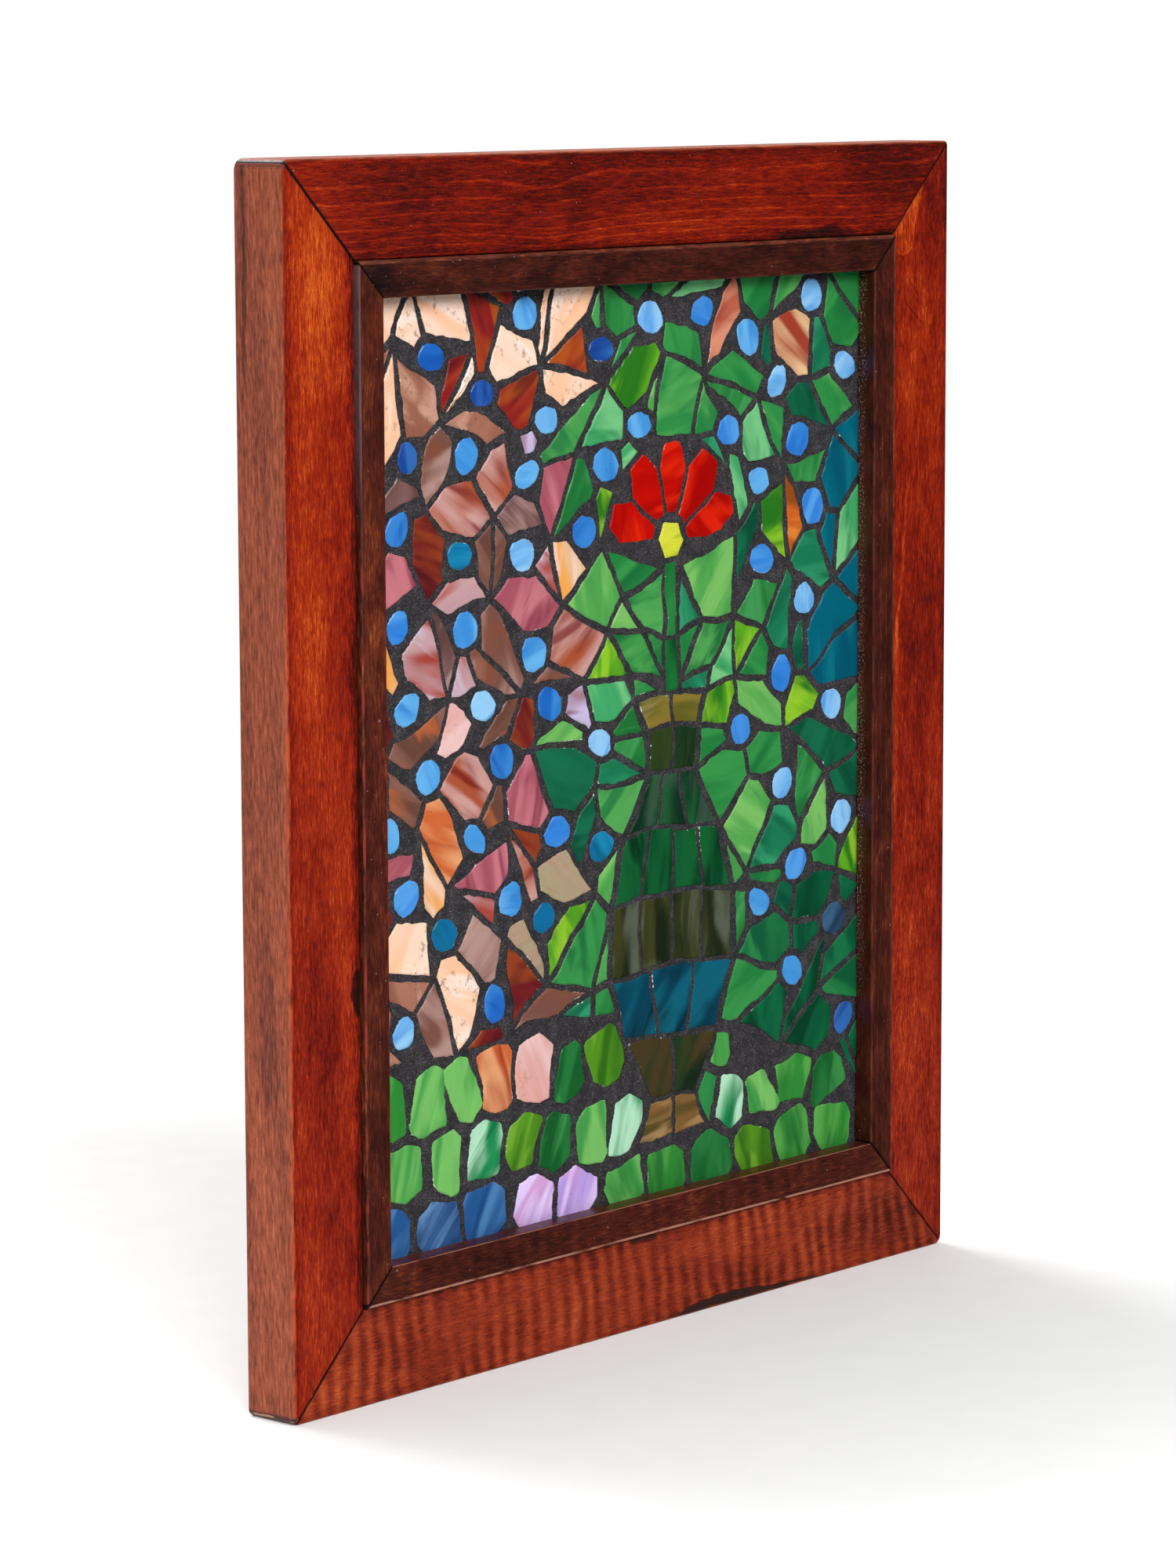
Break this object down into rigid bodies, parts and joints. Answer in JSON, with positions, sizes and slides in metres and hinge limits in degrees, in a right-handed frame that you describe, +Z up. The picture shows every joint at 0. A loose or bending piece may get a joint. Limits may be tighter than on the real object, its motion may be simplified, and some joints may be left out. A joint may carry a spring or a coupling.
{
  "type": "framed glass mosaic wall panel",
  "caption": "Upright glass mosaic picture of one flower in a vase, set in dark grout in a mitred wooden frame with a raised inner lip, made to hang flat on a wall.",
  "frame": {"origin": "on the back of the top rail, at the middle of its length and height, where the frame hangs on the wall", "axes": "+Z up along the long side, +Y out of the back into the wall, and the picture faces -Y"},
  "size_m": [0.425, 0.028, 0.5],
  "materials": {
    "rail_wood": "semi-gloss red-brown stain",
    "lip_wood": "satin dark brown stain",
    "board_wood": "bare board",
    "mosaic": "dark sanded grout with glass pieces set in it",
    "glass_dark_green": "glossy opaque glass",
    "glass_green": "glossy opaque glass",
    "glass_yellow": "glossy opaque glass",
    "glass_tan": "glossy opaque glass",
    "glass_olive": "glossy opaque glass",
    "glass_teal": "glossy opaque glass",
    "glass_red": "glossy opaque glass",
    "glass_blue": "glossy opaque glass of the round pieces",
    "glass_warm": "glossy opaque glass of the warm pieces",
    "glass_leaf": "glossy opaque glass of the green pieces",
    "glass_stone": "glossy opaque glass of the row of stones"
  },
  "bodies": {
    "root": {"rail_top": "rail_wood", "rail_bottom": "rail_wood", "rail_left": "rail_wood", "rail_right": "rail_wood", "lip_top": "lip_wood", "lip_bottom": "lip_wood", "lip_left": "lip_wood", "lip_right": "lip_wood", "backing_board": "board_wood", "mosaic_field": "mosaic", "stem_upper": "glass_green", "stem_lower": "glass_green", "vase_rim_1": "glass_tan", "vase_rim_2": "glass_tan", "vase_neck_1": "glass_olive", "vase_neck_2": "glass_olive", "vase_shoulder_1": "glass_dark_green", "vase_shoulder_2": "glass_dark_green", "vase_shoulder_3": "glass_dark_green", "vase_upper_body_1": "glass_dark_green", "vase_upper_body_2": "glass_dark_green", "vase_upper_body_3": "glass_dark_green", "vase_upper_body_4": "glass_dark_green", "vase_body_1": "glass_olive", "vase_body_2": "glass_olive", "vase_body_3": "glass_olive", "vase_body_4": "glass_olive", "vase_lower_body_1": "glass_teal", "vase_lower_body_2": "glass_teal", "vase_lower_body_3": "glass_teal", "vase_taper_1": "glass_olive", "vase_taper_2": "glass_olive", "vase_foot_1": "glass_tan", "vase_foot_2": "glass_tan", "stem_leaf_left": "glass_green", "stem_leaf_right": "glass_green", "petal_cup": "glass_yellow", "petal_1": "glass_red", "petal_2": "glass_red", "petal_3": "glass_red", "petal_4": "glass_red", "petal_5": "glass_red"}
  },
  "joints": []
}
